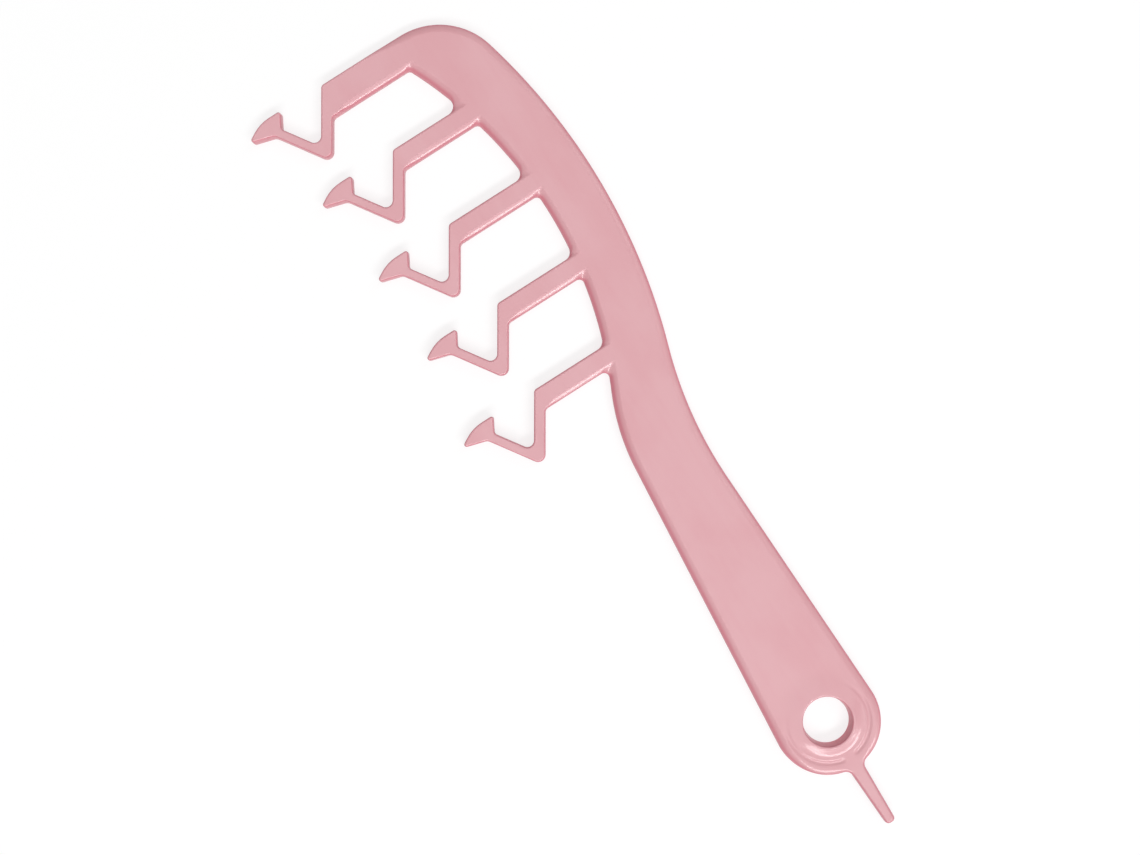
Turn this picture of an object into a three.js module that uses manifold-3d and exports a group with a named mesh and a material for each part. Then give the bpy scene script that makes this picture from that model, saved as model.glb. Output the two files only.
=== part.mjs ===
// A zig-zag parting comb: a flat handle with a hanging eye and a parting pin, a crescent spine
// and five zig-zag teeth, all one moulding, divided here at plain sections into named regions.
// Millimetres. Teeth point to -X, the head is at +Y, the decorated face is up, +Z.
import * as THREE from 'three';
import { mergeVertices } from 'three/addons/utils/BufferGeometryUtils.js';
import Module from 'manifold-3d';

const wasm = await Module();
wasm.setup();

// Plan sizes are measured from the eye's centre, x to the comb's back and y to its head.
const thickness = 3.2;
const facet = 0.03; // how far a facet may stand off the true curve

const eyeRadius = 10.5;
const boreRadius = 4.6;
const boreRim = 0.7; // rounding of the bore's two rims
const collarWidth = 2.7; // wall of the raised collar round the bore
const collarFlank = 1.4; // how much of that wall is its sloping flank
const collarHeight = 0.4; // above the face

const pinLength = 12.8; // past the eye's edge
const pinRootWidth = 3.1;
const pinTipWidth = 2.1;
const pinTipFillet = 0.9;
const pinRootFillet = 1.6;
const pinSpread = 3.2; // how far each side of the pin its root spreads along the eye's edge

const waistHeight = 52.6; // the back's narrowest place
const frontWaistRise = 4.6; // how much higher the toothed side's is
const backWaistRadius = 81;
const frontWaistRadius = 45;
const neckJointRise = 7.4; // from the waist to where the handle is divided from the spine

const spineWidth = 11.7;
const backReach = 19.3; // how far the back stands out from the eye's centre line
const backRadius = 120.5;
const frontRadius = 86;
const frontDrop = 1.9; // how far the front arc's middle is below the back's
const bulgeDrop = 5.1; // how far the back's middle is below the middle arm's top edge
const headRadius = 14.4;

const toothCount = 5;
const toothPitch = 18;
const lastArmAboveWaist = 32.2;
const elbowReach = [16.6, 11.6, 10.2, 10.5, 13.5]; // each arm's elbow, from the centre line
const armWidth = 4.4;
const headArmWidth = 6.4; // the first arm is also the end of the head
const riserWidth = 2.3;
const riserSlope = THREE.MathUtils.degToRad(57.4);
const riserDrop = 9.9; // from an arm's top edge to the inside of the knee
const footWidth = 1.9;
const footSlope = THREE.MathUtils.degToRad(56);
const footLength = 8.3;
const capRise = 3.2; // of the cap's crown above the foot's end
const capHeel = 1.8; // how far the cap overhangs the foot on the arm's side
const capFlat = 4.9; // the straight stretch of the crown
const capToe = 7; // how far the cap overhangs on the other side
const capToeRise = 0.95;
const capUndercut = 0.5; // how far the cap's underside is below the foot's end
const crownRadius = 8;

const elbowFillet = 1;
const kneeInnerFillet = 1.3;
const kneeOuterFillet = 1.5;
const capNeckFillet = 0.8;
const capTipFillet = 0.5;
const capHeelFillet = 1.5;
const armTopFillet = 2;
const armUnderFillet = 1;
const armRun = 3; // how far an arm's root follows the spine's edge
const armSink = 3; // how far it reaches into the spine
const armSplay = 1.1; // how much wider each side of it is there
const armStub = 3; // the length of each arm that stays on the spine

const bodyRounding = { width: 1.3, height: 1, steps: 4 };
const pinRounding = { width: 0.7, height: 0.8, steps: 3 };
const toothRounding = { width: 0.4, height: 0.5, steps: 3 };

// Heights and arc centres that follow from the sizes above.
const lastArmTop = waistHeight + lastArmAboveWaist;
const headTop = lastArmTop + (toothCount - 1) * toothPitch;
const bulgeHeight = (headTop + lastArmTop) / 2 - bulgeDrop;
const armTops = elbowReach.map((_, i) => headTop - i * toothPitch);
const eyeArc = { x: 0, y: 0, radius: eyeRadius };
const backArc = { x: backReach - backRadius, y: bulgeHeight, radius: backRadius };
const frontArc = {
  x: backReach - spineWidth - frontRadius,
  y: bulgeHeight - frontDrop,
  radius: frontRadius,
};
const backWaist = arcAtHeight(backArc, waistHeight, backWaistRadius, backRadius + backWaistRadius);
const frontWaist = arcAtHeight(
  frontArc,
  waistHeight + frontWaistRise,
  frontWaistRadius,
  frontRadius + frontWaistRadius,
);
const headArc = arcAtHeight(backArc, headTop - headRadius, headRadius, backRadius - headRadius);

// An arc whose centre is at height y, a given distance from another's centre, on its +X side.
function arcAtHeight(from, y, radius, distance) {
  return { x: from.x + Math.sqrt(distance ** 2 - (y - from.y) ** 2), y, radius };
}

// The direction from one arc's centre to another's.
function bearing(from, to) {
  return Math.atan2(to.y - from.y, to.x - from.x);
}

function pointOn(arc, angle) {
  return [arc.x + arc.radius * Math.cos(angle), arc.y + arc.radius * Math.sin(angle)];
}

// Points along an arc, close enough together to stay within the facet size.
function along(arc, from, to) {
  const step = 2 * Math.acos(1 - facet / arc.radius);
  const count = Math.max(1, Math.ceil(Math.abs(to - from) / step));
  return Array.from({ length: count + 1 }, (_, k) =>
    pointOn(arc, from + ((to - from) * k) / count),
  );
}

// The x of the spine's toothed edge at a height.
function frontEdge(y) {
  return frontArc.x + Math.sqrt(frontRadius ** 2 - (y - frontArc.y) ** 2);
}

// The x of a line through a point, at a height, where slope is its angle above the X axis.
function lineAt([x, y], slope, height) {
  return x + (height - y) / Math.tan(slope);
}

// A closed outline, anticlockwise, from corners [x, y, fillet]; a corner without a fillet is a point.
function outline(corners) {
  const points = corners.flatMap(([x, y, fillet = 0], i) => {
    if (fillet === 0) return [[x, y]];
    const [beforeX, beforeY] = corners.at(i - 1);
    const [afterX, afterY] = corners[(i + 1) % corners.length];
    const back = new THREE.Vector2(beforeX - x, beforeY - y).normalize();
    const on = new THREE.Vector2(afterX - x, afterY - y).normalize();
    const half = Math.acos(back.dot(on)) / 2;
    const centre = back.clone().add(on).setLength(fillet / Math.sin(half));
    const arc = { x: x + centre.x, y: y + centre.y, radius: fillet };
    const turn = Math.sign(back.cross(on)) * (Math.PI / 2 - half);
    const middle = Math.atan2(-centre.y, -centre.x);
    return along(arc, middle + turn, middle - turn);
  });
  return new THREE.Shape(points.map(([x, y]) => new THREE.Vector2(x, y)));
}

// A three.js geometry as a manifold solid.
function solid(geometry) {
  geometry.deleteAttribute('normal');
  geometry.deleteAttribute('uv');
  const merged = mergeVertices(geometry);
  return new wasm.Manifold(
    new wasm.Mesh({
      numProp: 3,
      vertProperties: merged.attributes.position.array,
      triVerts: new Uint32Array(merged.index.array),
    }),
  );
}

// A plate of the comb's full thickness with both faces' edges rounded inside the outline.
function plate(shape, rounding) {
  const geometry = new THREE.ExtrudeGeometry(shape, {
    depth: thickness - 2 * rounding.height,
    bevelThickness: rounding.height,
    bevelSize: rounding.width,
    bevelOffset: -rounding.width,
    bevelSegments: rounding.steps,
  });
  return solid(geometry.translate(0, 0, rounding.height));
}

// A turned solid about the eye's axis, from [radius, height] points.
function turned(profile) {
  const segments = Math.ceil(Math.PI / Math.acos(1 - facet / (boreRadius + collarWidth)));
  const geometry = new THREE.LatheGeometry(
    profile.map(([r, z]) => new THREE.Vector2(r, z)),
    segments,
  );
  return solid(geometry.rotateX(Math.PI / 2));
}

// A block between two plan corners that stands past both faces.
function block([x0, y0], [x1, y1]) {
  const margin = 2;
  const height = thickness + collarHeight + 2 * margin;
  const geometry = new THREE.BoxGeometry(x1 - x0, y1 - y0, height);
  return solid(geometry.translate((x0 + x1) / 2, (y0 + y1) / 2, height / 2 - margin));
}

// The handle and the crescent spine, as one plate.
function body() {
  const backLine =
    bearing(eyeArc, backWaist) -
    Math.acos((eyeRadius + backWaistRadius) / Math.hypot(backWaist.x, backWaist.y));
  const frontLine =
    bearing(eyeArc, frontWaist) +
    Math.acos((eyeRadius - frontWaistRadius) / Math.hypot(frontWaist.x, frontWaist.y));
  const backTurn = bearing(backArc, backWaist);
  const headTurn = bearing(backArc, headArc);
  const frontTurn = bearing(frontArc, frontWaist);
  const frontTop = Math.asin((headTop - frontArc.y) / frontRadius);
  const edge = [
    ...along(eyeArc, frontLine - 2 * Math.PI, backLine),
    ...along(backWaist, backLine + Math.PI, backTurn + Math.PI),
    ...along(backArc, backTurn, headTurn).slice(1),
    ...along(headArc, headTurn, Math.PI / 2).slice(1),
    ...along(frontArc, frontTop, frontTurn),
    ...along(frontWaist, frontTurn + Math.PI, frontLine).slice(1),
  ];
  return plate(outline(edge), bodyRounding);
}

// One zig-zag tooth: arm, riser, foot and cap, with its root sunk in the spine.
function tooth(index) {
  const top = armTops[index];
  const width = index === 0 ? headArmWidth : armWidth;
  const elbow = [-elbowReach[index], top];
  const under = top - width;
  const back = [elbow[0] + riserWidth / Math.sin(riserSlope), top];
  const knee = [lineAt(elbow, riserSlope, top - riserDrop), top - riserDrop];
  const neck = [
    knee[0] - footLength * Math.cos(footSlope),
    knee[1] + footLength * Math.sin(footSlope),
  ];
  const sole = [knee[0] - footWidth / Math.sin(footSlope), knee[1]];
  // The riser's back and the foot's sole meet below the inside of the knee.
  const apart = lineAt(back, riserSlope, knee[1]) - sole[0];
  const kneeHeight = knee[1] - apart / (1 / Math.tan(riserSlope) + 1 / Math.tan(footSlope));
  const heelHeight = neck[1] - capUndercut;
  const root =
    index === 0
      ? [[headArc.x, top]]
      : [
          [frontEdge(top + armRun) + armSink, top + armRun + armSplay],
          [frontEdge(top + armRun), top + armRun],
          [frontEdge(top), top, armTopFillet],
        ];
  return plate(
    outline([
      ...root,
      [...elbow, elbowFillet],
      [...knee, kneeInnerFillet],
      [...neck, capNeckFillet],
      [neck[0] + capHeel, neck[1] + capRise, capTipFillet],
      [neck[0] + capHeel - capFlat, neck[1] + capRise, crownRadius],
      [neck[0] - capToe, neck[1] + capToeRise, capTipFillet],
      [lineAt(sole, -footSlope, heelHeight), heelHeight, capHeelFillet],
      [lineAt(back, riserSlope, kneeHeight), kneeHeight, kneeOuterFillet],
      [lineAt(back, riserSlope, under), under, elbowFillet],
      [frontEdge(under), under, armUnderFillet],
      [frontEdge(under - armRun), under - armRun],
      [frontEdge(under - armRun) + armSink, under - armRun - armSplay],
    ]),
    toothRounding,
  );
}

// The parting pin, with its root spread along the eye's edge.
function pin() {
  const rootWidth = pinRootWidth / 2;
  const spread = rootWidth + pinSpread;
  const spreadHeight = -Math.sqrt(eyeRadius ** 2 - spread ** 2);
  const tip = -eyeRadius - pinLength;
  return plate(
    outline([
      [-spread, spreadHeight],
      [-rootWidth, -eyeRadius, pinRootFillet],
      [-pinTipWidth / 2, tip, pinTipFillet],
      [pinTipWidth / 2, tip, pinTipFillet],
      [rootWidth, -eyeRadius, pinRootFillet],
      [spread, spreadHeight],
      [rootWidth, -boreRadius - collarWidth],
      [-rootWidth, -boreRadius - collarWidth],
    ]),
    pinRounding,
  );
}

// The low raised collar round the bore, as a disc that the bore then opens.
function collar() {
  const foot = boreRadius + collarWidth;
  const crest = thickness + collarHeight;
  return turned([
    [0, thickness / 2],
    [foot, thickness / 2],
    [foot, thickness],
    [foot - collarFlank, crest],
    [0, crest],
  ]);
}

// The hanging bore, with a rounded rim at each face.
function bore() {
  const top = thickness + collarHeight;
  const rim = boreRadius + boreRim;
  const lower = { x: rim, y: boreRim, radius: boreRim };
  const upper = { x: rim, y: top - boreRim, radius: boreRim };
  return turned([
    [0, -boreRim],
    [rim, -boreRim],
    ...along(lower, 1.5 * Math.PI, Math.PI),
    ...along(upper, Math.PI, 0.5 * Math.PI),
    [rim, top + boreRim],
    [0, top + boreRim],
  ]);
}

function mesh(name, shape, material) {
  const { vertProperties, triVerts } = shape.getMesh();
  const geometry = new THREE.BufferGeometry();
  geometry.setAttribute('position', new THREE.BufferAttribute(vertProperties, 3));
  geometry.setIndex(new THREE.BufferAttribute(triVerts, 1));
  geometry.computeVertexNormals();
  const made = new THREE.Mesh(geometry, material);
  made.name = name;
  return made;
}

const pink = { color: 0xe1adb3, roughness: 0.35, metalness: 0 };
const comb = new THREE.Group();
const add = (name, shape) =>
  comb.add(mesh(name, shape, new THREE.MeshStandardMaterial(pink)));

// Each tooth is what its plate holds outside a plane near its root, and the spine keeps the rest.
const reach = 200;
let frame = body().add(pin()).add(collar()).subtract(bore());
armTops.forEach((top, i) => {
  const whole = tooth(i);
  const root = Math.min(frontEdge(top), frontEdge(top - armWidth)) - armStub;
  add(`tooth_${i + 1}`, whole.intersect(block([-reach, 0], [root, reach])));
  frame = frame.add(whole.intersect(block([root, 0], [reach, reach])));
});
const neckJoint = waistHeight + neckJointRise;
const pinJoint = -eyeRadius - facet;
add('spine', frame.intersect(block([-reach, neckJoint], [reach, reach])));
add('handle', frame.intersect(block([-reach, pinJoint], [reach, neckJoint])));
add('tail_pin', frame.intersect(block([-reach, -reach], [reach, pinJoint])));

// The part's origin is the middle of its box, on the face it lies on.
const box = new THREE.Box3().setFromObject(comb);
const middle = box.getCenter(new THREE.Vector3());
comb.position.set(-middle.x, -middle.y, -box.min.z);

const part = new THREE.Group();
part.add(comb);

export default part;
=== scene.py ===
"""A zig-zag parting comb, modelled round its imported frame.

The comb is one pink moulding: a handle with a hanging eye and a parting pin, a crescent spine,
and five zig-zag teeth. Its plan outline is drawn once, raised through a parting line and rounded
edges, and divided at the frame's own joints into the pieces that the frame names.

Plan sizes are millimetres from the eye's centre, x to the comb's back and y to its head, until
each mesh is finished. The finished meshes are in metres, in the frame.
"""
import logging
import math
from dataclasses import dataclass, field
from enum import Enum

import bmesh
import bpy
from bmesh.types import BMEdge, BMesh, BMFace, BMVert
from bpy.types import ID, Material, NodeSocket, NodeTree, Object
from mathutils import Matrix, Vector


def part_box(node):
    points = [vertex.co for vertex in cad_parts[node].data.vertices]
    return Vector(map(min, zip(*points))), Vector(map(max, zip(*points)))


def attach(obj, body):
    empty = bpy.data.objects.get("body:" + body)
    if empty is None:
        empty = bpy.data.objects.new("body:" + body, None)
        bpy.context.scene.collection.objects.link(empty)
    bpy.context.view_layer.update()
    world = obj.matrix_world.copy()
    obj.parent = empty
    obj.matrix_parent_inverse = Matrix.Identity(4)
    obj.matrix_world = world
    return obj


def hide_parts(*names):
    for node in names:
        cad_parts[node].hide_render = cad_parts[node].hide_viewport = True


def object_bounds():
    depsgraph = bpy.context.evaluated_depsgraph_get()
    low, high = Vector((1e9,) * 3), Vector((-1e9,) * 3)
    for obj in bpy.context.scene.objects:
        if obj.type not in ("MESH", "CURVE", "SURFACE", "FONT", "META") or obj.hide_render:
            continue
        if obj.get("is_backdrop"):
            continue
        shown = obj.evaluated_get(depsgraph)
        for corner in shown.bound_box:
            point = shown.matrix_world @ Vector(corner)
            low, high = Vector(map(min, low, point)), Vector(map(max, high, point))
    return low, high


Pair = tuple[float, float]
Triple = tuple[float, float, float]

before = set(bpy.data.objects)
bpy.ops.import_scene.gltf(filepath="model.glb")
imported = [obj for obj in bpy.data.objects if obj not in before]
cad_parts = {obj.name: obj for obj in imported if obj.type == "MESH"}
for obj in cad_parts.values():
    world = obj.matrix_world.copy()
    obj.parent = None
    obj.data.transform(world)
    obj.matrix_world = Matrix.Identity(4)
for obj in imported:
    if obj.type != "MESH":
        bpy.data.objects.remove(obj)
LOG = logging.getLogger("parting_comb")
MM = 0.001
TOUCH = 1e-4  # millimetres, under which two points are one
NEAR = 10 * TOUCH  # millimetres, under which a point counts as on a line or at a height
ACROSS = Vector((1.0, 0.0, 0.0))
ALONG = Vector((0.0, 1.0, 0.0))
UP = Vector((0.0, 0.0, 1.0))


def mix(first: float, second: float, share: float) -> float:
    """Gives the value a share of the way from the first number to the second."""
    return first + (second - first) * share


def ease(low: float, high: float, value: float) -> float:
    """Eases from 0 to 1 as a value passes from low to high.

    Args:
        low: Where the ease starts.
        high: Where it ends.
        value: The value to judge.

    Returns:
        The smooth share, from 0 to 1.
    """
    share = min(1.0, max(0.0, (value - low) / (high - low)))
    return share * share * (3.0 - 2.0 * share)


def store_slope(bm: BMesh) -> None:
    """Keeps on each vertex how far its surface leans from the flat faces, from 0 to 1."""
    bm.normal_update()
    slope = bm.verts.layers.float.new("slope")
    for vert in bm.verts:
        vert[slope] = 1 - sum(abs(face.normal.z) for face in vert.link_faces) / len(vert.link_faces)


def add_object(name: str, data: ID) -> Object:
    """Adds an object to the scene, at the origin, that holds a mesh, a light or a camera."""
    made = bpy.data.objects.new(name, data)
    bpy.context.scene.collection.objects.link(made)
    return made


def add_mesh(name: str, bm: BMesh, material: Material) -> Object:
    """Adds a finished mesh to the scene as an object, and frees it.

    Args:
        name: The object's name, and its mesh's.
        bm: The finished mesh, in metres.
        material: Its one material.

    Returns:
        The object.
    """
    mesh = bpy.data.meshes.new(name)
    bm.to_mesh(mesh)
    bm.free()
    mesh.materials.append(material)
    return add_object(name, mesh)


class Region(Enum):
    """The named regions that the frame divides the moulding into, apart from its teeth."""

    SPINE = "spine"
    HANDLE = "handle"
    PIN = "tail_pin"


@dataclass(frozen=True)
class Arc:
    """A round stretch of the plan outline."""

    x: float
    y: float
    radius: float

    def bearing(self, other: "Arc") -> float:
        """Gives the direction from this arc's centre to another's, in radians."""
        return math.atan2(other.y - self.y, other.x - self.x)

    def point(self, angle: float) -> Vector:
        """Gives the point of the arc at an angle."""
        x = self.x + self.radius * math.cos(angle)
        return Vector((x, self.y + self.radius * math.sin(angle), 0.0))

    def touching(self, y: float, radius: float, side: float = 1.0) -> "Arc":
        """Finds an arc that touches this one, with its centre at a height and on the +X side.

        Args:
            y: Height of the new centre.
            radius: Radius of the new arc.
            side: 1 where it touches this one's outside, and -1 where it touches the inside.

        Returns:
            The new arc.
        """
        distance = self.radius + side * radius
        return Arc(self.x + math.sqrt(distance**2 - (y - self.y) ** 2), y, radius)


@dataclass(frozen=True)
class Corner:
    """A corner of the plan outline, rounded to a fillet's radius."""

    x: float
    y: float
    fillet: float = 0.0

    @property
    def at(self) -> Vector:
        """Gives the corner's point."""
        return Vector((self.x, self.y, 0.0))

    def rounded(self, before: Vector, after: Vector) -> tuple[Arc, float, float]:
        """Works out the arc that rounds the corner.

        Args:
            before: The outline's last point before the corner.
            after: Its next point after the corner.

        Returns:
            The arc, and the angles where it starts and ends.
        """
        back = (before - self.at).normalized()
        on = (after - self.at).normalized()
        half = back.angle(on) / 2
        inward = (back + on).normalized() * (self.fillet / math.sin(half))
        turn = math.copysign(math.pi / 2 - half, back.cross(on).z)
        middle = math.atan2(-inward.y, -inward.x)
        centre = self.at + inward
        return Arc(centre.x, centre.y, self.fillet), middle + turn, middle - turn


class Pen:
    """Draws a chain of edges in a mesh, by extruding and spinning its last vertex."""

    def __init__(self, bm: BMesh, start: Vector, step: float, turn: float) -> None:
        """Sets the pen down.

        Args:
            bm: The mesh to draw in.
            start: Where the chain starts.
            step: Longest edge on a straight stretch.
            turn: Largest turn between two edges of a fillet, in radians.
        """
        self.bm = bm
        self.step = step
        self.turn = turn
        self.last = bm.verts.new(start)

    def line_to(self, point: Vector) -> None:
        """Draws a straight stretch to a point, in even edges."""
        start = self.last.co.copy()
        distance = (point - start).length
        if distance < TOUCH:
            return
        count = math.ceil(distance / self.step)
        for number in range(1, count + 1):
            self.last = bmesh.ops.extrude_vert_indiv(self.bm, verts=[self.last])["verts"][0]
            self.last.co = start.lerp(point, number / count)

    def arc(self, arc: Arc, start: float, end: float, turn: float | None = None) -> None:
        """Draws a line to an arc's start, and then the arc.

        Args:
            arc: The arc.
            start: Angle where it starts.
            end: Angle where it ends.
            turn: Largest turn between two edges, where it isn't the pen's own.
        """
        self.line_to(arc.point(start))
        steps = max(1, math.ceil(abs(end - start) / (turn or self.turn)))
        made = bmesh.ops.spin(
            self.bm, geom=[self.last], cent=(arc.x, arc.y, 0.0), axis=UP, angle=end - start, steps=steps
        )
        self.last = next(v for v in made["geom_last"] if isinstance(v, BMVert))

    def through(self, corners: list[Corner]) -> None:
        """Draws through several corners; the last one is a plain point."""
        for corner, after in zip(corners, corners[1:]):
            if corner.fillet:
                self.arc(*corner.rounded(self.last.co.copy(), after.at))
            else:
                self.line_to(corner.at)
        self.line_to(corners[-1].at)


@dataclass
class ToothPlan:
    """Sizes of one zig-zag tooth: arm, riser, foot and cap, seen in plan."""

    arm_width: float = 4.4
    head_arm_width: float = 6.4  # the first arm is also the end of the head
    riser_width: float = 2.3
    riser_slope: float = math.radians(57.4)
    riser_drop: float = 9.9
    foot_width: float = 1.9
    foot_slope: float = math.radians(56)
    foot_length: float = 8.3
    cap_rise: float = 3.2
    cap_heel: float = 1.8
    cap_flat: float = 4.9
    cap_toe: float = 7.0
    cap_toe_rise: float = 0.95
    cap_undercut: float = 0.5
    crown_radius: float = 8.0
    elbow_fillet: float = 1.0
    knee_inner_fillet: float = 1.3
    knee_outer_fillet: float = 1.5
    cap_neck_fillet: float = 0.8
    cap_tip_fillet: float = 0.5
    cap_heel_fillet: float = 1.5
    top_fillet: float = 2.0
    under_fillet: float = 1.0
    root_run: float = 3.0  # how far each root follows the spine's edge

    @property
    def foot_rise(self) -> float:
        """Gives the height of the foot's end over the inside of the knee."""
        return self.foot_length * math.sin(self.foot_slope)

    @property
    def crown_rise(self) -> float:
        """Gives the height of the cap's crown over the arm's top edge."""
        return self.foot_rise + self.cap_rise - self.riser_drop

    def width(self, index: int) -> float:
        """Gives the width of an arm, by the tooth's place from the head."""
        return self.arm_width if index else self.head_arm_width

    def cap(self, neck: Vector) -> list[Corner]:
        """Gives the cap's corners, from the foot's upper end to its toe."""
        crown = neck.y + self.cap_rise
        heel = neck.x + self.cap_heel
        return [
            Corner(neck.x, neck.y, self.cap_neck_fillet),
            Corner(heel, crown, self.cap_tip_fillet),
            Corner(heel - self.cap_flat, crown, self.crown_radius),
            Corner(neck.x - self.cap_toe, neck.y + self.cap_toe_rise, self.cap_tip_fillet),
        ]

    def corners(self, elbow_x: float, top: float, width: float) -> list[Corner]:
        """Gives the tooth's corners, from its elbow round the cap to the arm's underside.

        Args:
            elbow_x: Where the arm's top edge ends.
            top: Height of the arm's top edge.
            width: The arm's width.

        Returns:
            The corners, anticlockwise.
        """
        riser = 1 / math.tan(self.riser_slope)
        foot = 1 / math.tan(self.foot_slope)
        knee = Vector((elbow_x - self.riser_drop * riser, top - self.riser_drop))
        neck = knee + Vector((-self.foot_length * math.cos(self.foot_slope), self.foot_rise))
        sole = knee.x - self.foot_width / math.sin(self.foot_slope)
        back = elbow_x + self.riser_width / math.sin(self.riser_slope)
        lowest = knee.y - (back - self.riser_drop * riser - sole) / (riser + foot)
        heel = neck.y - self.cap_undercut
        return [
            Corner(elbow_x, top, self.elbow_fillet),
            Corner(knee.x, knee.y, self.knee_inner_fillet),
            *self.cap(neck),
            Corner(sole - (heel - knee.y) * foot, heel, self.cap_heel_fillet),
            Corner(back - (top - lowest) * riser, lowest, self.knee_outer_fillet),
            Corner(back - width * riser, top - width, self.elbow_fillet),
        ]

    def reach(self) -> float:
        """Gives how far the tooth's furthest point is from its elbow, towards -X."""
        corners = self.corners(0.0, 0.0, self.arm_width)
        toe = next(k for k, corner in enumerate(corners) if corner.fillet == self.crown_radius) + 1
        arc = corners[toe].rounded(corners[toe - 1].at, corners[toe + 1].at)[0]
        return arc.radius - arc.x


@dataclass
class CombPlan:
    """The comb's plan outline, with its places taken from the frame."""

    tooth: ToothPlan = field(default_factory=ToothPlan)
    eye_radius: float = 10.5
    pin_length: float = 12.8
    pin_root_width: float = 3.1
    pin_tip_width: float = 2.1
    pin_tip_fillet: float = 0.9
    pin_root_fillet: float = 1.6
    pin_spread: float = 1.7
    neck_joint_rise: float = 7.4  # of the neck joint over the back's waist
    front_waist_rise: float = 4.6
    back_waist_radius: float = 81.0
    front_waist_radius: float = 45.0
    spine_width: float = 11.7
    back_radius: float = 120.5
    front_radius: float = 86.0
    front_drop: float = 1.9
    bulge_drop: float = 5.1
    head_radius: float = 14.4
    straight_step: float = 0.9
    fillet_turn: float = math.radians(7.5)
    eye_turn: float = math.radians(1.8)
    curve_turn: float = math.radians(0.5)
    eye: Vector = field(init=False)  # its centre, in the frame
    face: float = field(init=False)  # height of the upper face
    crest: float = field(init=False)  # height of the eye's collar
    pin_joint: float = field(init=False)
    neck_joint: float = field(init=False)
    tooth_names: list[str] = field(init=False)
    tooth_joints: list[float] = field(init=False)
    tops: list[float] = field(init=False)  # heights of the arms' top edges
    elbows: list[float] = field(init=False)  # where the top edges end
    end: Arc = field(init=False)  # the handle's end
    back: Arc = field(init=False)
    back_waist: Arc = field(init=False)
    front: Arc = field(init=False)
    front_waist: Arc = field(init=False)
    head: Arc = field(init=False)

    def __post_init__(self) -> None:
        """Reads the places of the eye, the spine and the teeth from the frame."""
        pin_low, pin_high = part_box(Region.PIN.value)
        spine_low, spine_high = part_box(Region.SPINE.value)
        eye_y = pin_low.y / MM + self.pin_length + self.eye_radius
        self.eye = Vector(((pin_low.x + pin_high.x) / 2 / MM, eye_y, 0.0))
        self.tooth_names = sorted(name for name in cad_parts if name.startswith("tooth_"))
        boxes = [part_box(name) for name in self.tooth_names]
        self.tops = [high.y / MM - self.eye.y - self.tooth.crown_rise for _, high in boxes]
        self.elbows = [low.x / MM - self.eye.x + self.tooth.reach() for low, _ in boxes]
        self.tooth_joints = [high.x / MM - self.eye.x for _, high in boxes]
        self.neck_joint = spine_low.y / MM - self.eye.y
        self.pin_joint = pin_high.y / MM - self.eye.y
        self.face = spine_high.z / MM
        self.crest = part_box(Region.HANDLE.value)[1].z / MM
        head_top = spine_high.y / MM - self.eye.y
        back_reach = spine_high.x / MM - self.eye.x
        waist = self.neck_joint - self.neck_joint_rise
        bulge = (self.tops[0] + self.tops[-1]) / 2 - self.bulge_drop
        self.end = Arc(0.0, 0.0, self.eye_radius)
        self.back = Arc(back_reach - self.back_radius, bulge, self.back_radius)
        front_x = back_reach - self.spine_width - self.front_radius
        self.front = Arc(front_x, bulge - self.front_drop, self.front_radius)
        self.back_waist = self.back.touching(waist, self.back_waist_radius)
        self.front_waist = self.front.touching(waist + self.front_waist_rise, self.front_waist_radius)
        self.head = self.back.touching(head_top - self.head_radius, self.head_radius, -1.0)

    @property
    def pin_reach(self) -> float:
        """Gives how far from the pin's middle its root's fillets reach along the handle's end."""
        return self.pin_root_width / 2 + self.pin_spread

    @property
    def last_run(self) -> float:
        """Gives the height where the last arm's root ends."""
        return self.tops[-1] - self.tooth.arm_width - self.tooth.root_run

    def front_edge(self, y: float) -> float:
        """Gives the x of the spine's toothed edge at a height."""
        return self.front.x + math.sqrt(self.front.radius**2 - (y - self.front.y) ** 2)

    def front_corner(self, y: float, fillet: float = 0.0) -> Corner:
        """Gives a corner on the spine's toothed edge at a height."""
        return Corner(self.front_edge(y), y, fillet)

    def front_angle(self, y: float) -> float:
        """Gives the angle of the spine's toothed arc at a height."""
        return math.asin((y - self.front.y) / self.front.radius)

    def line_angle(self, waist: Arc, side: float) -> float:
        """Gives where the line to a waist leaves the end; side is 1 if it passes between the centres."""
        share = (self.eye_radius + side * waist.radius) / math.hypot(waist.x, waist.y)
        return self.end.bearing(waist) - side * math.acos(share)

    def draw_pin(self, pen: Pen) -> None:
        """Draws the parting pin, from the eye's left side to its right."""
        half = self.pin_root_width / 2
        tip = -self.eye_radius - self.pin_length
        pen.through([
            Corner(-half, -self.eye_radius, self.pin_root_fillet),
            Corner(-self.pin_tip_width / 2, tip, self.pin_tip_fillet),
            Corner(self.pin_tip_width / 2, tip, self.pin_tip_fillet),
            Corner(half, -self.eye_radius, self.pin_root_fillet),
            Corner(self.pin_reach, -math.sqrt(self.eye_radius**2 - self.pin_reach**2)),
        ])

    def draw_teeth(self, pen: Pen) -> None:
        """Draws the teeth from the head down, and the spine's edge between them."""
        run = self.tooth.root_run
        for index, (top, elbow) in enumerate(zip(self.tops, self.elbows)):
            under = top - self.tooth.width(index)
            root = [self.front_corner(top, self.tooth.top_fillet)] if index else []
            pen.through([
                *root,
                *self.tooth.corners(elbow, top, self.tooth.width(index)),
                self.front_corner(under, self.tooth.under_fillet),
                self.front_corner(under - run),
            ])
            if index + 1 < len(self.tops):
                following = self.front_angle(self.tops[index + 1] + run)
                pen.arc(self.front, self.front_angle(under - run), following, self.curve_turn)

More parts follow.
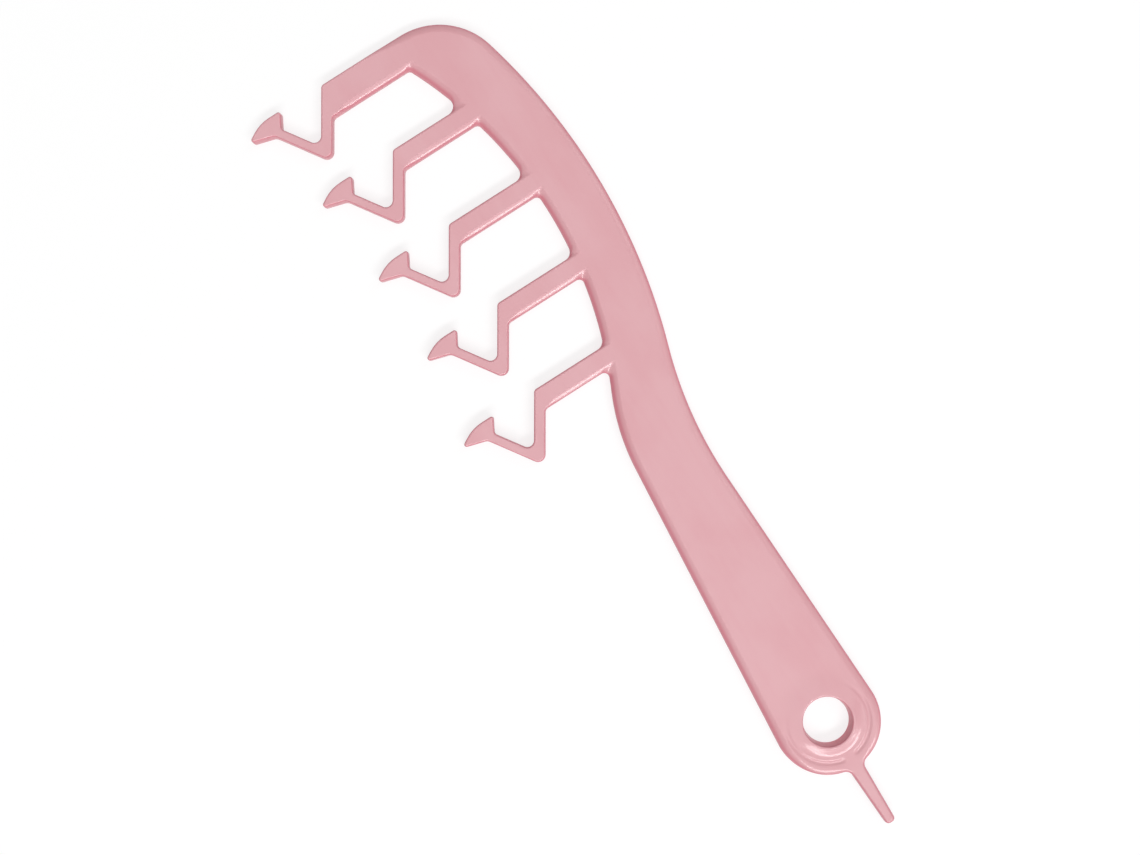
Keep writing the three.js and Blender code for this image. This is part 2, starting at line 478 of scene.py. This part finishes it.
    def draw(self, bm: BMesh) -> None:
        """Draws the whole outline, anticlockwise from the pin's right side."""
        pin_angle = math.asin(self.pin_reach / self.eye_radius)
        down = -math.pi / 2
        back_line = self.line_angle(self.back_waist, 1.0)
        front_line = self.line_angle(self.front_waist, -1.0)
        back_turn = self.back.bearing(self.back_waist)
        head_turn = self.back.bearing(self.head)
        front_turn = self.front.bearing(self.front_waist)
        pen = Pen(bm, self.end.point(down + pin_angle), self.straight_step, self.fillet_turn)
        pen.arc(self.end, down + pin_angle, back_line, self.eye_turn)
        pen.arc(self.back_waist, back_line + math.pi, back_turn + math.pi, self.curve_turn)
        pen.arc(self.back, back_turn, head_turn, self.curve_turn)
        pen.arc(self.head, head_turn, math.pi / 2, self.eye_turn)
        self.draw_teeth(pen)
        pen.arc(self.front, self.front_angle(self.last_run), front_turn, self.curve_turn)
        pen.arc(self.front_waist, front_turn + math.pi, front_line, self.curve_turn)
        pen.arc(self.end, front_line, 2 * math.pi + down - pin_angle, self.eye_turn)
        self.draw_pin(pen)
        bmesh.ops.remove_doubles(bm, verts=bm.verts[:], dist=NEAR)


@dataclass(frozen=True)
class Edge:
    """One form of rounded edge: how far it reaches in over the flat face, and how far down."""

    width: float
    height: float
    fullness: float = 1.0  # 1 is a quarter ellipse, and more nears a chamfer

    def mixed(self, other: "Edge", share: float) -> "Edge":
        """Gives the form a share of the way from this one to another."""
        return Edge(
            mix(self.width, other.width, share),
            mix(self.height, other.height, share),
            mix(self.fullness, other.fullness, share),
        )


@dataclass(frozen=True)
class Root:
    """One inner corner between an arm and the spine's toothed edge."""

    corner: Vector
    run: Vector  # along the spine's edge, away from the arm
    arm_inward: Vector
    fillet: float
    arm: Edge

    @property
    def spine_inward(self) -> Vector:
        """Gives the direction into the spine, square to its edge."""
        across = UP.cross(self.run)
        return across if across.x > 0 else -across

    @property
    def tangent(self) -> float:
        """Gives the distance from the corner to each end of its fillet."""
        return self.fillet / math.tan(self.run.angle(-ACROSS) / 2)

    def turned(self, inward: Vector) -> float:
        """Gives the share of the corner's turn that is done where the outline faces a direction."""
        return min(1.0, self.arm_inward.angle(inward) / self.arm_inward.angle(self.spine_inward))

    def crest(self, share: float, spine: float) -> Vector:
        """Finds where the rounding ends on the flat face, over a point of the fillet.

        The arm's narrow rounding runs straight on until it meets the spine's broad one.

        Args:
            share: Share of the corner's turn that is done at the point.
            spine: Width of the spine's rounding.

        Returns:
            The point on the flat face.
        """
        start = self.corner - ACROSS * self.tangent + self.arm_inward * self.arm.width
        end = self.corner + self.run * self.tangent + self.spine_inward * spine
        beyond = spine - self.arm.width * self.arm_inward.dot(self.spine_inward)
        meeting = self.corner + self.arm_inward * self.arm.width
        meeting += ACROSS * (beyond / ACROSS.dot(self.spine_inward))
        return start.lerp(meeting, 2 * share) if share < 0.5 else meeting.lerp(end, 2 * share - 1)


@dataclass
class Rounding:
    """How broadly the moulding's edges are rounded along the outline."""

    plan: CombPlan
    front: Edge = Edge(1.6, 1.1, 1.35)
    back: Edge = Edge(1.6, 0.75, 1.25)
    end: Edge = Edge(1.25, 0.55)
    pin: Edge = Edge(0.6, 0.65)
    tooth: Edge = Edge(0.38, 0.34)
    arm_top: Edge = Edge(0.45, 0.36)
    arm_under: Edge = Edge(0.95, 0.36, 1.6)
    arm_run: float = 2.5  # over which an arm's rounding changes from its elbow
    end_run: Pair = (-2.0, -9.0)  # heights, from the handle's to the end's
    pin_run: Pair = (1.2, 5.2)  # distances from the pin's root, from the pin's to the handle's
    side_turn: float = 1.4  # how quickly the rounding changes over the handle's width
    neck_lean: float = 0.4  # share of the way that the handle's middle leans to the spine's
    head_run: Pair = (-8.0, 4.0)  # distances out from the toothed edge, from the back's to a tooth's
    neck_share: float = 0.5  # of the spine's width out from its edge, past which a tooth begins
    back_share: float = 1 / 3  # of the spine's width in from that edge, past which the back begins
    edge_reach: float = 0.1  # within which a point counts as on the spine's toothed edge
    under_share: float = 0.45  # of the upper rounding's size, on the face that the comb lies on
    roots: list[Root] = field(init=False)

    def __post_init__(self) -> None:
        """Lists the arms' roots."""
        self.roots = []
        tooth = self.plan.tooth
        for index, top in enumerate(self.plan.tops):
            sides = [(top - tooth.width(index), -1.0, tooth.under_fillet, self.arm_under)]
            if index:
                sides.append((top, 1.0, tooth.top_fillet, self.arm_top))
            for height, away, fillet, arm in sides:
                corner = self.plan.front_corner(height).at
                run = self.plan.front_corner(height + away * tooth.root_run).at - corner
                inward = Vector((0.0, -away, 0.0))
                self.roots.append(Root(corner, run.normalized(), inward, fillet, arm))

    def beside_handle(self, x: float, y: float) -> Edge:
        """Gives the rounding at a point round the handle or the pin."""
        plan = self.plan
        if y <= -plan.eye_radius:
            return self.pin
        neck_middle = mix(plan.front_edge(plan.tops[-1]), plan.back.x + plan.back.radius, 0.5)
        centre = self.neck_lean * neck_middle * ease(0.0, plan.neck_joint, y)
        side = ease(-plan.eye_radius, plan.eye_radius, (x - centre) * self.side_turn)
        handle = self.front.mixed(self.back, side).mixed(self.end, ease(*self.end_run, y))
        far = math.hypot(x, y + plan.eye_radius)
        return self.pin.mixed(handle, ease(*self.pin_run, far))

    def beside_tooth(self, x: float, y: float) -> Edge:
        """Gives the rounding at a point round a tooth."""
        plan = self.plan
        for index, (top, elbow) in enumerate(zip(plan.tops, plan.elbows)):
            for height, arm in ((top, self.arm_top), (top - plan.tooth.width(index), self.arm_under)):
                if abs(y - height) < NEAR:
                    return self.tooth.mixed(arm, ease(elbow, elbow + self.arm_run, x))
        return self.tooth

    def at(self, x: float, y: float) -> Edge:
        """Gives the rounding over a point of the outline, away from the roots.

        Args:
            x: The point's place across the comb.
            y: The point's place along it.

        Returns:
            The rounding's form.
        """
        plan = self.plan
        if y < plan.neck_joint:
            return self.beside_handle(x, y)
        out = plan.front_edge(min(y, plan.tops[0])) - x
        if y < plan.last_run and out < plan.spine_width * self.neck_share:
            return self.beside_handle(x, y)
        if y > plan.tops[0] - plan.tooth.head_arm_width / 2 or out < -plan.spine_width * self.back_share:
            return self.back.mixed(self.tooth, ease(*self.head_run, out))
        return self.front if out < self.edge_reach else self.beside_tooth(x, y)

    def over(self, at: Vector, inward: Vector) -> tuple[Vector, Edge]:
        """Gives the rounding over a vertex of the outline.

        Args:
            at: The vertex's place.
            inward: The direction into the comb there, long enough to mitre.

        Returns:
            How far the rounding reaches in over the flat face, and its form.
        """
        for root in self.roots:
            if (at - root.corner).length < root.tangent + NEAR:
                share = root.turned(inward)
                return root.crest(share, self.front.width) - at, root.arm.mixed(self.front, share)
        edge = self.at(at.x, at.y)
        return inward * edge.width, edge


@dataclass
class Moulding:
    """The whole comb as one closed body, before it is divided into its pieces."""

    plan: CombPlan
    rounding: Rounding
    parting_height: float = 1.2
    draft: float = 0.05  # how far each wall leans in from the parting line
    steps: int = 9
    hold: float = 0.04  # width of the strip that keeps each flat face flat
    layers: tuple[str, ...] = ("place", "inward", "reach", "form")

    def build(self) -> BMesh:
        """Builds the closed body.

        Returns:
            The body's mesh, in millimetres from the eye's centre.
        """
        bm = bmesh.new()
        self.plan.draw(bm)
        self.measure(bm)
        parting = bm.edges[:]
        self.raise_side(bm, parting, self.plan.face, 1.0)
        self.raise_side(bm, parting, 0.0, self.rounding.under_share)
        bmesh.ops.recalc_face_normals(bm, faces=bm.faces[:])
        for edge in parting:
            edge.smooth = False
        LOG.info("moulding: %d faces round an outline of %d edges", len(bm.faces), len(parting))
        return bm

    def measure(self, bm: BMesh) -> None:
        """Keeps each outline vertex's plan place, inward direction and rounding on the vertex."""
        place, inward, reach, form = (bm.verts.layers.float_vector.new(name) for name in self.layers)
        loop = bmesh.ops.edgeloop_fill(bm, edges=bm.edges[:])["faces"][0]
        if loop.normal.z < 0:
            loop.normal_flip()
        for corner in loop.loops:
            here = corner.vert.co
            before = (here - corner.link_loop_prev.vert.co).normalized()
            after = (corner.link_loop_next.vert.co - here).normalized()
            normal = UP.cross(before) + UP.cross(after)
            corner.vert[inward] = normal * (2.0 / normal.length_squared)
            corner.vert[place] = here
            corner.vert[reach], edge = self.rounding.over(here, corner.vert[inward])
            corner.vert[form] = (edge.height, edge.fullness, 0.0)
        bmesh.ops.delete(bm, geom=[loop], context="FACES_ONLY")
        for vert in bm.verts:
            vert.co.z = self.parting_height

    def raise_side(self, bm: BMesh, parting: list[BMEdge], face: float, share: float) -> None:
        """Raises one side of the body from the parting line to its flat face.

        Args:
            bm: The mesh.
            parting: The edges of the parting line.
            face: Height of the flat face.
            share: Share of the rounding's size that this side takes.
        """
        place, inward, reach, form = (bm.verts.layers.float_vector[name] for name in self.layers)
        away = math.copysign(1.0, face - self.parting_height)
        edges = parting
        stages = [(step / self.steps, 0.0) for step in range(self.steps + 1)] + [(1.0, self.hold)]
        for share_round, held in stages:
            angle = share_round * math.pi / 2
            made = bmesh.ops.extrude_edge_only(bm, edges=edges)["geom"]
            edges = [item for item in made if isinstance(item, BMEdge)]
            for vert in (item for item in made if isinstance(item, BMVert)):
                height, power, _ = vert[form]
                across = share * (1 - max(0.0, math.cos(angle)) ** power)
                down = share * height * (1 - math.sin(angle) ** power)
                vert.co = vert[place] + vert[reach] * across + vert[inward] * (self.draft + held)
                vert.co.z = face - away * down
        bmesh.ops.edgeloop_fill(bm, edges=edges)


@dataclass
class HangingEye:
    """The hanging bore, its raised collar, and the shallow valley between collar and rim."""

    plan: CombPlan
    bore_radius: float = 4.5  # at the lower face
    bore_mouth: float = 4.85  # radius at the top, which the mould's draft widens
    rim: float = 0.35
    under_rim: float = 0.45
    crest_radius: float = 5.5
    foot_radius: float = 8.75
    handle_side: Pair = (-0.45, 0.75)  # sines of the bearings where that side begins and is full
    handle_rise: float = 0.55  # share of the collar's height that it has on the handle's side
    foot_stretch: float = 1.5  # how much further the collar runs out on the handle's side
    stretch_side: Pair = (0.2, 1.0)  # sines of the bearings where the stretch begins and is full
    flank_lead: float = 0.5  # how far inside the crest's edge the flank begins to fall
    flank_end: float = 7.1
    handle_flank_end: float = 9.95
    valley_radius: float = 8.15
    valley_width: float = 0.62
    valley_depth: float = 0.18
    bar_width: float = 2.1  # the pin's flat top, which runs over the valley to the collar
    bar_flank: float = 0.45
    segments: int = 160
    step: float = 0.16
    rim_turn: float = math.radians(10)

    def turned(self, bm: BMesh) -> None:
        """Turns the bore and the collar from one profile, from the lower face to the upper."""
        start = Vector((self.bore_radius + self.under_rim + self.step, 0.0, 0.0))
        pen = Pen(bm, start, self.step, self.rim_turn)
        pen.through([
            Corner(self.bore_radius, 0.0, self.under_rim),
            Corner(self.bore_mouth, self.plan.crest, self.rim),
            Corner(self.crest_radius, self.plan.crest),
            Corner(self.foot_radius, self.plan.crest),
        ])
        upright = Matrix.Rotation(math.pi / 2, 3, "X")
        bmesh.ops.rotate(bm, verts=bm.verts[:], cent=(0, 0, 0), matrix=upright)
        bmesh.ops.spin(
            bm, geom=bm.verts[:] + bm.edges[:], cent=(0, 0, 0), axis=UP, angle=2 * math.pi,
            steps=self.segments, use_merge=True,
        )
        bmesh.ops.remove_doubles(bm, verts=bm.verts[:], dist=TOUCH)

    def shape(self, bm: BMesh) -> None:
        """Lowers and widens the collar on the handle's side, and sinks the valley at the end."""
        plan = self.plan
        for vert in bm.verts:
            radius = vert.co.xy.length
            towards_handle = ease(*self.handle_side, vert.co.y / radius)
            rise = (plan.crest - plan.face) * mix(1.0, self.handle_rise, towards_handle)
            if vert.co.z < plan.face:
                continue
            if radius < self.crest_radius - TOUCH:
                vert.co.z = plan.face + (vert.co.z - plan.face) * rise / (plan.crest - plan.face)
                continue
            run = (radius - self.crest_radius) / (self.foot_radius - self.crest_radius)
            out = radius + run * self.foot_stretch * ease(*self.stretch_side, vert.co.y / radius)
            flank_end = mix(self.flank_end, self.handle_flank_end, towards_handle)
            flank = 1 - ease(self.crest_radius - self.flank_lead, flank_end, out)
            near = max(0.0, 1 - ((out - self.valley_radius) / self.valley_width) ** 2)
            sunk = self.valley_depth * near**2 * (1 - towards_handle)
            vert.co.xy = vert.co.xy * (out / radius)
            height = rise * flank - sunk
            if vert.co.y < 0 and height < 0:
                half = self.bar_width / 2
                height *= ease(half, half + self.bar_flank, abs(vert.co.x))
            vert.co.z = plan.face + (height if run < 1 - TOUCH else 0.0)

    def fit(self, bm: BMesh) -> None:
        """Opens the eye in the handle, and closes both flat faces round it.

        Args:
            bm: The handle's mesh, in millimetres from the eye's centre.
        """
        ring = bmesh.new()
        self.turned(ring)
        self.shape(ring)
        store_slope(ring)
        mesh = bpy.data.meshes.new("eye")
        ring.to_mesh(mesh)
        ring.free()
        by_level_area = sorted(bm.faces, key=lambda face: face.normal.z * face.calc_area())
        bmesh.ops.delete(bm, geom=[by_level_area[0], by_level_area[-1]], context="FACES_ONLY")
        bm.from_mesh(mesh)
        bpy.data.meshes.remove(mesh)
        for height, normal in ((self.plan.face, UP), (0.0, -UP)):
            rims = [e for e in bm.edges if e.is_boundary]
            rims = [e for e in rims if all(abs(v.co.z - height) < NEAR for v in e.verts)]
            bmesh.ops.triangle_fill(bm, edges=rims, use_beauty=True, use_dissolve=False, normal=normal)
        bmesh.ops.recalc_face_normals(bm, faces=bm.faces[:])


@dataclass(frozen=True)
class Noise:
    """One noise in a finish, in object space."""

    size: float  # of its features, in metres
    stretch: Triple = (1.0, 1.0, 1.0)  # how many times longer they are on each axis
    turn: float = 0.0  # of the pattern about the Z axis, in radians
    band: Pair = (0.0, 1.0)  # the values between which it comes in
    detail: float = 3.0


@dataclass(frozen=True)
class PinkPlastic:
    """A pink plastic coloured through, with a satin gloss, a fine moulded surface and painted shade down
    its rounded edges.
    """

    name: str = "pink_moulded_plastic"
    colour: Triple = (0.71, 0.352, 0.386)
    # a darker rose, used for the flow streaks and for the painted shade on the rounded edges
    streak_and_shade_rose: Triple = (0.66, 0.2, 0.255)
    pale: Triple = (0.80, 0.50, 0.53)
    clouds: Noise = Noise(0.009, (1.0, 1.6, 1.0), band=(0.35, 0.7))
    cloud_share: float = 0.22
    flow: Noise = Noise(0.0016, (1.0, 14.0, 1.0), band=(0.45, 0.75))
    flow_share: float = 0.05
    painted_shade_slopes: Pair = (0.075, 0.24)  # between which painted shade deepens the colour
    painted_shade_share: float = 0.8
    shade_lift_slopes: Pair = (0.9, 0.97)  # between which the painted shade lifts part of the way back
    shade_lift_share: float = 0.45
    roughness: Pair = (0.32, 0.44)
    rubbing: Noise = Noise(0.0009, (0.35, 18.0, 1.0), math.radians(11), (0.4, 0.68))
    ior: float = 1.49
    gloss_slopes: Pair = (0.35, 0.9)  # between which the next two fall
    specular: Pair = (0.5, 0.12)
    coat: Pair = (0.5, 0.1)
    coat_roughness: float = 0.14
    grain: Noise = Noise(0.00035)
    grain_strength: float = 0.12
    grain_depth: float = 0.00006

    def build(self) -> Material:
        """Builds the node material."""
        material = bpy.data.materials.new(self.name)
        material.use_nodes = True
        tree = material.node_tree
        tree.nodes.clear()
        shader = tree.nodes.new("ShaderNodeBsdfPrincipled")
        output = tree.nodes.new("ShaderNodeOutputMaterial")
        tree.links.new(shader.outputs["BSDF"], output.inputs["Surface"])
        shader.inputs["IOR"].default_value = self.ior
        shader.inputs["Coat Roughness"].default_value = self.coat_roughness
        specular = self.by_slope(tree, self.gloss_slopes, self.specular)
        coat = self.by_slope(tree, self.gloss_slopes, self.coat)
        tree.links.new(specular, shader.inputs["Specular IOR Level"])
        tree.links.new(coat, shader.inputs["Coat Weight"])
        tree.links.new(self.paint(tree), shader.inputs["Base Color"])
        tree.links.new(self.gloss(tree), shader.inputs["Roughness"])
        tree.links.new(self.relief(tree), shader.inputs["Normal"])
        return material

    def pattern(self, tree: NodeTree, noise: Noise) -> NodeSocket:
        """Adds a noise to the material's nodes, and gives its value."""
        place = tree.nodes.new("ShaderNodeTexCoord")
        mapping = tree.nodes.new("ShaderNodeMapping")
        mapping.inputs["Scale"].default_value = [1 / (noise.size * share) for share in noise.stretch]
        mapping.inputs["Rotation"].default_value = (0.0, 0.0, noise.turn)
        node = tree.nodes.new("ShaderNodeTexNoise")
        node.inputs["Scale"].default_value = 1.0
        node.inputs["Detail"].default_value = noise.detail
        tree.links.new(place.outputs["Object"], mapping.inputs["Vector"])
        tree.links.new(mapping.outputs["Vector"], node.inputs["Vector"])
        return node.outputs["Fac"]

    def ramp(self, tree: NodeTree, value: NodeSocket, between: Pair, results: Pair) -> NodeSocket:
        """Maps a range of a value smoothly to another range.

        Args:
            tree: The material's nodes.
            value: The value to map.
            between: Where the range starts and ends.
            results: What its start and its end become.

        Returns:
            The mapped value.
        """
        node = tree.nodes.new("ShaderNodeMapRange")
        node.interpolation_type = "SMOOTHSTEP"
        tree.links.new(value, node.inputs["Value"])
        for name, number in zip(("From Min", "From Max", "To Min", "To Max"), (*between, *results)):
            node.inputs[name].default_value = number
        return node.outputs["Result"]

    def by_slope(self, tree: NodeTree, slopes: Pair, results: Pair) -> NodeSocket:
        """Adds a value that changes between two slopes of the surface, 0 flat and 1 upright."""
        slope = tree.nodes.new("ShaderNodeAttribute")
        slope.attribute_name = "slope"
        return self.ramp(tree, slope.outputs["Fac"], slopes, results)

    def shown(self, tree: NodeTree, noise: Noise, results: Pair) -> NodeSocket:
        """Adds a value that changes over a noise's band."""
        return self.ramp(tree, self.pattern(tree, noise), noise.band, results)

    def blend(
        self, tree: NodeTree, share: NodeSocket, first: NodeSocket | Triple, second: Triple
    ) -> NodeSocket:
        """Mixes a second colour over the first by a share, and gives the mixed colour."""
        node = tree.nodes.new("ShaderNodeMix")
        node.data_type = "RGBA"
        tree.links.new(share, node.inputs["Factor"])
        if isinstance(first, tuple):
            node.inputs["A"].default_value = (*first, 1.0)
        else:
            tree.links.new(first, node.inputs["A"])
        node.inputs["B"].default_value = (*second, 1.0)
        return node.outputs["Result"]

    def paint(self, tree: NodeTree) -> NodeSocket:
        """Adds the colour: cloudy pink, faint flow marks, and painted shade of deeper rose down the
        rounded edges, lifted part of the way on upright walls.
        """
        clouds = self.shown(tree, self.clouds, (0.0, self.cloud_share))
        flow = self.shown(tree, self.flow, (0.0, self.flow_share))
        # painted shade: a darker rose over the rounded edges' slopes, standing in for the shade that
        # falls there
        edges = self.by_slope(tree, self.painted_shade_slopes, (0.0, self.painted_shade_share))
        # the painted shade lifts part of the way back on the upright walls
        shade_lift = self.by_slope(tree, self.shade_lift_slopes, (0.0, self.shade_lift_share))
        cloudy = self.blend(tree, clouds, self.colour, self.pale)
        streaked = self.blend(tree, flow, cloudy, self.streak_and_shade_rose)
        shaded = self.blend(tree, edges, streaked, self.streak_and_shade_rose)
        return self.blend(tree, shade_lift, shaded, self.colour)

    def gloss(self, tree: NodeTree) -> NodeSocket:
        """Adds the roughness: a satin gloss with fine rubbed lines along the comb."""
        return self.shown(tree, self.rubbing, self.roughness)

    def relief(self, tree: NodeTree) -> NodeSocket:
        """Adds the fine grain that the mould's own surface leaves."""
        bump = tree.nodes.new("ShaderNodeBump")
        bump.inputs["Strength"].default_value = self.grain_strength
        bump.inputs["Distance"].default_value = self.grain_depth
        tree.links.new(self.pattern(tree, self.grain), bump.inputs["Height"])
        return bump.outputs["Normal"]


@dataclass
class Divider:
    """Divides the moulding at the frame's joints, and makes each piece's mesh."""

    plan: CombPlan
    moulding: Moulding
    finish: Material
    below: float = 15.0  # from an arm's top edge down to the free gap under its knee
    above: float = 1.36  # from an arm's top edge up past its cap
    stub_clear: float = 1.0  # how far off the spine's toothed edge a tooth's faces are

    def cut(self, bm: BMesh, where: Vector, normal: Vector, faces: list[BMFace]) -> None:
        """Cuts some faces along a plane, and leaves them joined, in the same order each time."""
        edges = dict.fromkeys(edge for face in faces for edge in face.edges)
        verts = dict.fromkeys(vert for face in faces for vert in face.verts)
        geometry = [*verts, *edges, *faces]
        bmesh.ops.bisect_plane(bm, geom=geometry, dist=TOUCH, plane_co=where, plane_no=normal)

    def mark(self, bm: BMesh) -> dict[str, int]:
        """Cuts the moulding at every joint, and numbers each face by its piece.

        Args:
            bm: The whole moulding.

        Returns:
            The number of each piece, by its node's name.
        """
        plan = self.plan
        levels = [top - self.below for top in plan.tops]
        for height in [plan.pin_joint, plan.neck_joint, *levels]:
            self.cut(bm, ALONG * height, ALONG, bm.faces[:])
        for top, level, joint in zip(plan.tops, levels, plan.tooth_joints):
            band = [f for f in bm.faces if level < f.calc_center_median().y < top + self.above]
            self.cut(bm, ACROSS * joint, ACROSS, band)
        names = [*(region.value for region in Region), *plan.tooth_names]
        piece = bm.faces.layers.int.new("piece")
        for face in bm.faces:
            face[piece] = names.index(self.owner(face, levels))
        store_slope(bm)
        return {name: number for number, name in enumerate(names)}

    def owner(self, face: BMFace, levels: list[float]) -> str:
        """Finds the node that a face belongs to.

        Args:
            face: A face of the cut moulding.
            levels: The lowest height of each tooth's band.

        Returns:
            The node's name.
        """
        plan = self.plan
        low = [min(v.co[axis] for v in face.verts) for axis in (0, 1)]
        high = [max(v.co[axis] for v in face.verts) for axis in (0, 1)]
        x, y = ((a + b) / 2 for a, b in zip(low, high))
        if high[1] < plan.pin_joint + NEAR:
            return Region.PIN.value
        if high[1] < plan.neck_joint + NEAR:
            return Region.HANDLE.value
        for name, level, joint in zip(plan.tooth_names, levels, plan.tooth_joints):
            if y > level:
                free = x < plan.front_edge(min(y, plan.tops[0])) - self.stub_clear
                return name if high[0] < joint + NEAR and free else Region.SPINE.value
        return Region.SPINE.value

    def piece(self, whole: BMesh, number: int) -> BMesh:
        """Takes one piece out of the marked moulding, and closes its ends.

        Args:
            whole: The marked moulding.
            number: The piece's number.

        Returns:
            The piece's closed mesh.
        """
        bm = whole.copy()
        layer = bm.faces.layers.int["piece"]
        others = [face for face in bm.faces if face[layer] != number]
        bmesh.ops.delete(bm, geom=others, context="FACES")
        open_edges = [edge for edge in bm.edges if edge.is_boundary]
        bmesh.ops.holes_fill(bm, edges=open_edges, sides=0)
        for edge in open_edges:
            edge.smooth = False
        return bm

    def finished(self, bm: BMesh, name: str) -> Object:
        """Places a piece in the frame, and gives it its finish.

        Args:
            bm: The piece's mesh, in millimetres from the eye's centre.
            name: The node that the piece stands for.

        Returns:
            The piece's object.
        """
        bmesh.ops.recalc_face_normals(bm, faces=bm.faces[:])
        for face in bm.faces:
            face.smooth = True
        bmesh.ops.translate(bm, verts=bm.verts[:], vec=self.plan.eye)
        bmesh.ops.scale(bm, verts=bm.verts[:], vec=(MM, MM, MM))
        for layer in self.moulding.layers:
            bm.verts.layers.float_vector.remove(bm.verts.layers.float_vector[layer])
        return add_mesh(f"comb_{name}", bm, self.finish)

    def build(self, eye: HangingEye) -> list[Object]:
        """Builds every piece, and puts it on the frame.

        Args:
            eye: The hanging eye, which the handle takes.

        Returns:
            The pieces' objects.
        """
        whole = self.moulding.build()
        made = []
        for name, number in self.mark(whole).items():
            bm = self.piece(whole, number)
            if name == Region.HANDLE.value:
                eye.fit(bm)
            piece = self.finished(bm, name)
            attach(piece, "root")
            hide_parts(name)
            LOG.info("%s: %d faces", piece.name, len(piece.data.polygons))
            made.append(piece)
        whole.free()
        return made


@dataclass(frozen=True)
class SoftLight:
    """An oblong soft light that faces the comb."""

    name: str
    towards: Pair  # the direction that it stands in, seen from above
    tilt: float  # how far from overhead it stands, in radians
    size: Pair
    power: float  # in watts
    distance: float = 2.7

    def add(self, aim: Vector) -> None:
        """Adds the light to the scene, facing a point."""
        data = bpy.data.lights.new(self.name, "AREA")
        data.shape = "RECTANGLE"
        data.size, data.size_y = self.size
        data.energy = self.power
        across = Vector(self.towards).normalized() * math.sin(self.tilt)
        offset = Vector((across.x, across.y, math.cos(self.tilt))) * self.distance
        light = add_object(self.name, data)
        light.location = aim + offset
        light.rotation_euler = (-offset).to_track_quat("-Z", "Y").to_euler()


@dataclass
class Studio:
    """A pale table under soft light, with a camera that looks straight down."""

    camera_offset: Pair = (-0.00424, 0.00805)  # from the comb's middle
    camera_height: float = 0.3101  # over the comb's highest point
    camera_turn: float = math.radians(-32.5)
    lens: float = 50.6
    clip_start: float = 0.01
    table_size: float = 4.0
    table_gap: float = 0.00002  # under the comb, so that no two faces share a plane
    table_grey: float = 0.22
    table_roughness: float = 0.8
    table_glow: float = 0.77
    room_strength: float = 0.3
    lights: tuple[SoftLight, ...] = (
        SoftLight("key", (-0.15, -0.97), math.radians(36), (2.4, 0.5), 46.0),
        SoftLight("side", (1.0, 0.15), math.radians(40), (1.2, 1.2), 7.0),
        SoftLight("fill", (-0.15, -0.97), 0.0, (2.0, 2.0), 14.5),
    )

    def build(self) -> None:
        """Builds the table, the room, the lights and the camera."""
        low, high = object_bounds()
        middle = (low + high) / 2
        self.build_table()
        self.build_room()
        for light in self.lights:
            light.add(middle)
        self.build_camera(Vector((middle.x, middle.y, high.z)))

    def build_camera(self, over: Vector) -> None:
        """Sets the camera up over a point of the comb's top, looking straight down."""
        data = bpy.data.cameras.new("camera")
        data.lens = self.lens
        data.clip_start = self.clip_start
        camera = add_object("camera", data)
        camera.location = over + Vector((*self.camera_offset, self.camera_height))
        camera.rotation_euler = (0.0, 0.0, self.camera_turn)
        bpy.context.scene.camera = camera

    def build_table(self) -> None:
        """Builds the pale table top that the comb lies on."""
        bm = bmesh.new()
        bmesh.ops.create_grid(bm, x_segments=1, y_segments=1, size=self.table_size / 2)
        bmesh.ops.translate(bm, verts=bm.verts[:], vec=(0.0, 0.0, -self.table_gap))
        material = bpy.data.materials.new("table_white")
        material.use_nodes = True
        shader = material.node_tree.nodes["Principled BSDF"]
        shader.inputs["Base Color"].default_value = (*[self.table_grey] * 3, 1.0)
        shader.inputs["Roughness"].default_value = self.table_roughness
        shader.inputs["Emission Color"].default_value = (1.0, 1.0, 1.0, 1.0)
        shader.inputs["Emission Strength"].default_value = self.table_glow
        table = add_mesh("table", bm, material)
        table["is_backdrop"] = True

    def build_room(self) -> None:
        """Lights the room evenly and faintly, and keeps its colours plain."""
        scene = bpy.context.scene
        world = bpy.data.worlds.new("room")
        world.use_nodes = True
        background = world.node_tree.nodes["Background"]
        background.inputs["Color"].default_value = (1.0, 1.0, 1.0, 1.0)
        background.inputs["Strength"].default_value = self.room_strength
        scene.world = world
        scene.view_settings.view_transform = "Standard"


def main() -> None:
    """Builds the comb and its studio."""
    logging.basicConfig(level=logging.INFO, format="%(name)s: %(message)s")
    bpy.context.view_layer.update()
    plan = CombPlan()
    moulding = Moulding(plan, Rounding(plan))
    pieces = Divider(plan, moulding, PinkPlastic().build()).build(HangingEye(plan))
    LOG.info("pieces: %d", len(pieces))
    Studio().build()


if __name__ == "__main__":
    main()
